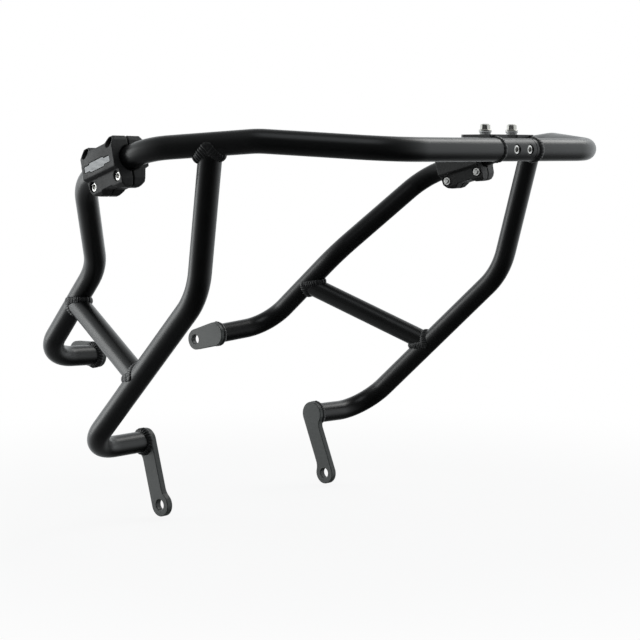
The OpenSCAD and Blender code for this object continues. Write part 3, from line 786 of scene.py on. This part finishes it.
# edges are lists of steps: how far from the end face, how far inside the side or outside
# the socket and, on a hexagon, its share
screwSizes = dict(shank=3.0, tip=0.6, headRadius=5.0, headHigh=6.0, headFoot=(0.2, 0.25),
                  headEdge=[(0.75, 0), (0.5, 0.07), (0.22, 0.27), (0, 0.65)], socket=2.5,
                  socketEdge=[(0, 0.55, 0), (0.3, 0.18, 0.6), (0.45, 0, 1)], socketDeep=3.2,
                  socketCone=0.9, nutFlats=10.0, nutHigh=5.0, boreEdge=0.4,
                  nutEdge=[(0, 0.15, 0), (0.35, 0, 0.55), (0.9, 0, 1)], around=96)


# turned piece: a list of rings (height, radius, share of hexagon). A ring of share 1 is a
# hexagon whose flats lie at that radius, of share 0 a circle, and between them a blend
def turnedShape(profile, origin, axes):
    turn = np.linspace(0, 2 * np.pi, screwSizes["around"], endpoint=False)
    hexagon = 1 / np.cos((turn + np.pi / 6) % (np.pi / 3) - np.pi / 6)
    rows = np.array(profile, float)
    radius = rows[:, 1:2] * (1 + rows[:, 2:3] * (hexagon - 1)[None, :])
    local = np.stack([radius * np.cos(turn), radius * np.sin(turn),
                      np.repeat(rows[:, :1], len(turn), 1)], -1)
    return gridFaces(np.asarray(origin, float) + local @ axes)


# from the tip of the shank over the head's rounded edge to the bottom of the socket
def socketScrew(shank):
    radius, high = screwSizes["headRadius"], screwSizes["headHigh"]
    bar, tip, socket = screwSizes["shank"], screwSizes["tip"], screwSizes["socket"]
    up, inside = screwSizes["headFoot"]
    bottom = high - screwSizes["socketDeep"]
    return ([(-shank, 0, 0), (-shank, bar - tip, 0), (-shank + tip, bar, 0), (0, bar, 0),
             (0, radius - inside, 0), (up, radius, 0)]
            + [(high - down, radius - inside, 0) for down, inside in screwSizes["headEdge"]]
            + [(high - down, socket + outside, share)
               for down, outside, share in screwSizes["socketEdge"]]
            + [(bottom, socket, 1), (bottom - screwSizes["socketCone"], 0, 0)])


# a ring that starts and ends at the bore's lower edge, with chamfered corners
def hexNut():
    flat, bore = screwSizes["nutFlats"] / 2, screwSizes["shank"] + seatGap
    high, edge = screwSizes["nutHigh"], screwSizes["boreEdge"]
    outer = [(up, flat - inside, share) for up, inside, share in screwSizes["nutEdge"]]
    return ([(0, bore + edge, 0)] + outer
            + [(high - up, radius, share) for up, radius, share in reversed(outer)]
            + [(high, bore + edge, 0), (high - edge, bore, 0), (edge, bore, 0),
               (0, bore + edge, 0)])


# pad axes: X along the tube, Y up across the bolts, Z outward along the bolts
padSizes = dict(place=63.5, turn=1.0, pitch=46.6, across=36.4, shank=26.5, headSeat=8.55,
                nutSeat=11.55)
badgeSizes = dict(along=-1.0, up=0.8, out=21.85, thick=1.2, edge=0.28, corner=0.7, arcStep=15,
                  outline=[(-24.5, -3.2), (-15.2, -3.2), (-13.5, -5), (12.2, -5), (14, -3.2),
                           (24.5, -3.2), (24.5, 3.2), (14, 3.2), (12.2, 5), (-13.5, 5),
                           (-15.2, 3.2), (-24.5, 3.2)])
padWay = unit(mainPoints[3] - mainPoints[4])
level = -unit(np.cross([0, 0, 1], padWay))
rise = np.cross(level, padWay)
tilt = math.radians(padSizes["turn"])
padOut = math.cos(tilt) * level + math.sin(tilt) * rise
padUp = math.cos(tilt) * rise - math.sin(tilt) * level
padMiddle = mainPoints[3] - padWay * padSizes["place"]
padAxes = np.array([padWay, padUp, padOut])
backAxes = np.array([padWay, -padUp, -padOut])
padBolts, padNuts = [], []
for a in (-0.5, 0.5):
    for b in (-0.5, 0.5):
        spot = padMiddle + padWay * a * padSizes["pitch"] + padUp * b * padSizes["across"]
        padBolts.append(turnedShape(socketScrew(padSizes["shank"]),
                                    spot + padOut * padSizes["headSeat"], padAxes))
        padNuts.append(turnedShape(hexNut(), spot - padOut * padSizes["nutSeat"], backAxes))
badgeLoop = roundedOutline(np.array(badgeSizes["outline"]), badgeSizes["corner"],
                           badgeSizes["arcStep"])
badgeSpot = (padMiddle + padWay * badgeSizes["along"] + padUp * badgeSizes["up"]
             + padOut * badgeSizes["out"])
for side, sign in sides:
    addShapes("padBolts_" + side, onSide(padBolts, sign), brightSteel, "fastener",
              "pad_bolts_" + side)
    addShapes("padNuts_" + side, onSide(padNuts, sign), brightSteel, "fastener",
              "pad_nuts_" + side)
    mesh = plateMesh("badge_" + side + "Plate", badgeLoop, [], badgeSizes["thick"],
                     badgeSizes["edge"])
    placeMesh(mesh, badgeSpot, padAxes, sign, badgeSizes["thick"] / 2)
    addPlate("badge_" + side + "Plate", mesh, badgeMetal, "badge", "badge_" + side)

# the coupling's two screws stand forward of the tube, each a distance from the middle
couplingScrewSizes = dict(seat=5.45, middle=25.0, apart=12.0, shank=16.0)
frontAxes = np.array([[0, 0, -1], [0, 1, 0], [1, 0, 0]], float)
couplingScrews = [
    turnedShape(socketScrew(couplingScrewSizes["shank"]),
                (couplingScrewSizes["seat"],
                 couplingScrewSizes["middle"] + way * couplingScrewSizes["apart"], 0), frontAxes)
    for way in (-1, 1)]
addShapes("couplingScrews", couplingScrews, brightSteel, "fastener", "coupling_screws")

# flanged bolt from the tip of its shank to the top of its head, and stepped collar from
# its lower face round and back through its bore
uprightAxes = np.eye(3)
quarterTurned = np.array([[0, 1, 0], [-1, 0, 0], [0, 0, 1]], float)
boltProfile = [(-16.5, 0, 0), (-16.5, 2.5, 0), (-16.0, 3, 0), (0, 3, 0), (0, 6.9, 0),
               (0.25, 7.1, 0), (0.7, 7.05, 0), (1.25, 6.5, 0), (1.5, 5.8, 0), (1.55, 4.8, 0.6),
               (1.7, 4.75, 1), (6.0, 4.75, 1), (6.6, 4.72, 0.6), (7.1, 4.4, 0.1),
               (7.4, 3.6, 0), (7.5, 2.4, 0), (7.5, 0, 0)]
collarProfile = [(0, 3.15, 0), (0, 5.8, 0), (0.2, 6, 0), (2.0, 6, 0), (2.2, 6.1, 0),
                 (2.3, 6.8, 0), (2.5, 7, 0), (3.6, 7, 0), (3.8, 6.8, 0), (3.95, 3.6, 0),
                 (3.6, 3.15, 0), (0, 3.15, 0)]
for name, node, profile, seat, axes, material, slotName in (
        ("lugBolts", "lug_bolts", boltProfile, "boltSeat", uprightAxes, boltSteel, "fastener"),
        ("lugCollars", "lug_collars", collarProfile, "collarSeat", uprightAxes, collarPaintedSheen,
         "collar"),
        ("lugNuts", "lug_nuts", hexNut(), "nutSeat", quarterTurned, boltSteel, "fastener")):
    addShapes(name, [turnedShape(profile, (-lugSizes["back"], y, lugSizes[seat]), axes)
                     for y in lugSizes["middles"].values()], material, slotName, node)
print("fasteners turned")

# camera

cameraSizes = dict(place=(1.4597, -1.5514, 0.2000), lens=100.05, sensor=36.0, near=0.05,
                   far=60.0, right=(0.73481, 0.67831, -0.00003),
                   up=(-0.06351, 0.06889, 0.99563))
cameraData = bpy.data.cameras.new("photoCamera")
cameraData.lens = cameraSizes["lens"]
cameraData.sensor_width = cameraSizes["sensor"]
cameraData.clip_start = cameraSizes["near"]
cameraData.clip_end = cameraSizes["far"]
camera = bpy.data.objects.new("photoCamera", cameraData)
bpy.context.scene.collection.objects.link(camera)
right = Vector(cameraSizes["right"]).normalized()
up = Vector(cameraSizes["up"]).normalized()
back = right.cross(up).normalized()
camera.matrix_world = Matrix.Translation(Vector(cameraSizes["place"])) @ Matrix(
    (right, up, back)).transposed().to_4x4()
bpy.context.scene.camera = camera

# floor, background and light

stageSizes = dict(floorZ=-0.2335, halfFloor=9.0, floorColour=(0.96, 0.962, 0.965),
                  floorRough=0.9, clearFrom=0.30, clearTo=0.95, whitened=0.88)
floorMesh = bpy.data.meshes.new("studioFloor")
half = stageSizes["halfFloor"]
floorMesh.from_pydata([(-half, -half, 0), (half, -half, 0), (half, half, 0), (-half, half, 0)],
                      [], [(0, 1, 2, 3)])
floor = bpy.data.objects.new("studioFloor", floorMesh)
floor.location = (0, 0, stageSizes["floorZ"])
bpy.context.scene.collection.objects.link(floor)
floor.visible_glossy = False

# pale matt floor, left out of reflections. The camera sees it mostly whitened, and away
# from the object it goes over into the plain white background
floorMaterial, floorTree, floorShader = newMaterial("paleFloor")
feed(floorTree, floorShader, {"Base Color": (*stageSizes["floorColour"], 1),
                              "Roughness": stageSizes["floorRough"],
                              "Specular IOR Level": 0.0})
floorCoord = floorTree.nodes.new("ShaderNodeTexCoord")
distance = addNode(floorTree, "VectorMath", {0: floorCoord.outputs["Object"]})
distance.operation = "LENGTH"
fadeOut = rangeNode(floorTree, distance.outputs["Value"], stageSizes["clearFrom"],
                    stageSizes["clearTo"], stageSizes["whitened"], 1.0)
floorPath = floorTree.nodes.new("ShaderNodeLightPath")
plain = addNode(floorTree, "Emission", {"Color": (1, 1, 1, 1), "Strength": 1.0})
blend = addNode(floorTree, "MixShader", {
    "Fac": mathNode(floorTree, "MULTIPLY", floorPath.outputs["Is Camera Ray"], fadeOut),
    1: floorShader.outputs["BSDF"], 2: plain.outputs["Emission"]})
feed(floorTree, floorTree.nodes["Material Output"], {"Surface": blend.outputs["Shader"]})
floorMesh.materials.append(floorMaterial)

# the room is bright behind the object and dim towards the camera, weaker straight up and
# straight down, and below the horizon weaker again, most of all to the right. The camera
# itself sees plain white
worldSizes = dict(front=0.06, behind=1.25, backWay=(-0.6751, 0.7317, 0.0), rampFrom=-0.8,
                  rampTo=0.38, levelTo=0.25, steepFrom=0.95, steepShare=0.2,
                  belowFrom=-0.66, belowTo=-0.05, belowLeft=0.62, belowRight=0.04,
                  rightWay=(0.7317, 0.6751, 0.0), leftTo=-0.45, rightFrom=0.6,
                  colour=(0.95, 0.985, 1.0))
world = bpy.data.worlds.new("studioWorld")
bpy.context.scene.world = world
world.use_nodes = True
worldTree = world.node_tree
worldTree.nodes.clear()
seenPlain = worldTree.nodes.new("ShaderNodeLightPath").outputs["Is Camera Ray"]
skyWay = worldTree.nodes.new("ShaderNodeTexCoord").outputs["Generated"]
skyUp = addNode(worldTree, "SeparateXYZ", {0: skyWay}).outputs["Z"]
around = rangeNode(worldTree, dotNode(worldTree, skyWay, worldSizes["backWay"]),
                   worldSizes["rampFrom"], worldSizes["rampTo"], worldSizes["front"],
                   worldSizes["behind"])
steep = rangeNode(worldTree, mathNode(worldTree, "ABSOLUTE", skyUp), worldSizes["levelTo"],
                  worldSizes["steepFrom"], 1.0, worldSizes["steepShare"])
# share of the light that is left looking down, and how far a direction is from down
share = rangeNode(worldTree, dotNode(worldTree, skyWay, worldSizes["rightWay"]),
                  worldSizes["leftTo"], worldSizes["rightFrom"], worldSizes["belowLeft"],
                  worldSizes["belowRight"])
upright = rangeNode(worldTree, skyUp, worldSizes["belowFrom"], worldSizes["belowTo"], 0.0, 1.0)
rest = mathNode(worldTree, "MULTIPLY", mathNode(worldTree, "SUBTRACT", 1.0, share), upright)
below = mathNode(worldTree, "ADD", share, rest)
room = mathNode(worldTree, "MULTIPLY", mathNode(worldTree, "MULTIPLY", around, steep), below)
unseen = mathNode(worldTree, "SUBTRACT", 1.0, seenPlain)
sky = addNode(worldTree, "Background", {
    "Color": colourMix(worldTree, seenPlain, worldSizes["colour"], (1, 1, 1)),
    "Strength": mathNode(worldTree, "ADD", mathNode(worldTree, "MULTIPLY", room, unseen),
                         seenPlain)})
addNode(worldTree, "OutputWorld", {"Surface": sky.outputs["Background"]})

# softboxes, all turned to the middle of the object: size in metres, power in watts
lampSizes = dict(
    overhead=dict(place=(0.78, -0.84, 1.76), wide=1.3, high=1.3, watts=6.0,
                  colour=(0.93, 0.97, 1.0)),
    leftBox=dict(place=(-1.97, -1.18, 0.10), wide=0.95, high=1.7, watts=15.0,
                 colour=(0.98, 1.0, 0.99)),
    rightStrip=dict(place=(0.20, 1.85, 1.80), wide=1.0, high=1.2, watts=12.0,
                    colour=(1.0, 1.0, 0.98)))
for name, sizes in lampSizes.items():
    lampData = bpy.data.lights.new(name, "AREA")
    lampData.shape = "RECTANGLE"
    lampData.size = sizes["wide"]
    lampData.size_y = sizes["high"]
    lampData.energy = sizes["watts"]
    lampData.color = sizes["colour"]
    lamp = bpy.data.objects.new(name, lampData)
    bpy.context.scene.collection.objects.link(lamp)
    lamp.location = sizes["place"]
    lamp.rotation_euler = (-Vector(sizes["place"])).to_track_quat("-Z", "Y").to_euler()

bpy.context.scene.view_settings.view_transform = "Standard"
print("camera, floor and light set")
